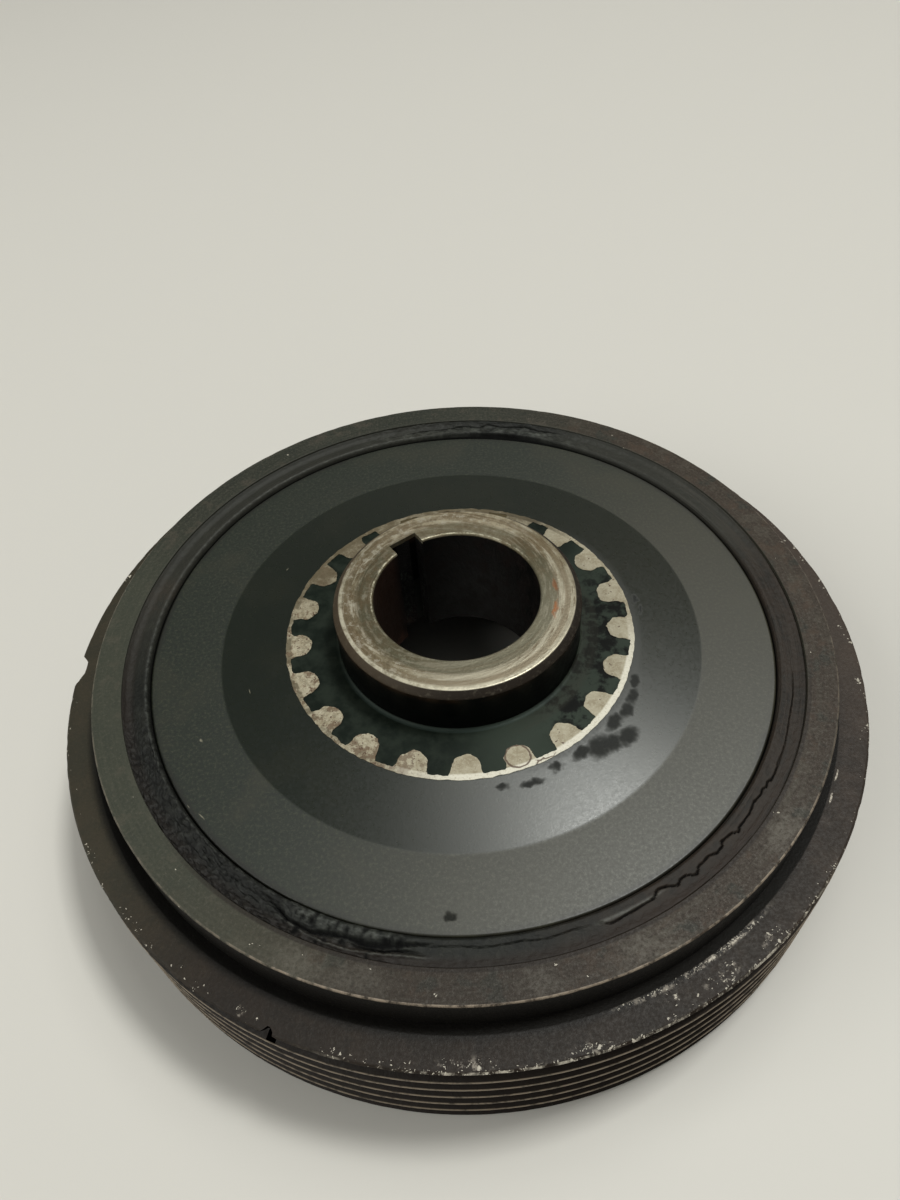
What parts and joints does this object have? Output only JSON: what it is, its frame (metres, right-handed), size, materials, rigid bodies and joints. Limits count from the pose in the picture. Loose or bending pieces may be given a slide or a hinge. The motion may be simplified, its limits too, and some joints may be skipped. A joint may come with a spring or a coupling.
{
  "type": "harmonic balancer",
  "caption": "Crankshaft harmonic balancer: a keyed hub, a bonded rubber ring and an outer iron ring with V grooves for a ribbed belt.",
  "frame": {"origin": "on the shaft axis, in the plane of the outer ring's front edge, which the part rests on", "axes": "+Z along the shaft axis towards the engine side, where the boss is; +X to the right and +Y away from the viewer in the picture"},
  "size_m": [0.1292, 0.1292, 0.0358],
  "materials": {
    "hub_steel": "matt dark grey-green coating; bare worn steel on the boss end and on the sprocket mark",
    "damper_rubber": "aged, cracked and scuffed black rubber",
    "ring_iron": "dark brown-black turned iron, bright along the worn edges and rib tips"
  },
  "bodies": {
    "root": {"hub": "hub_steel", "damper_rubber": "damper_rubber", "pulley_ring": "ring_iron"}
  },
  "joints": []
}
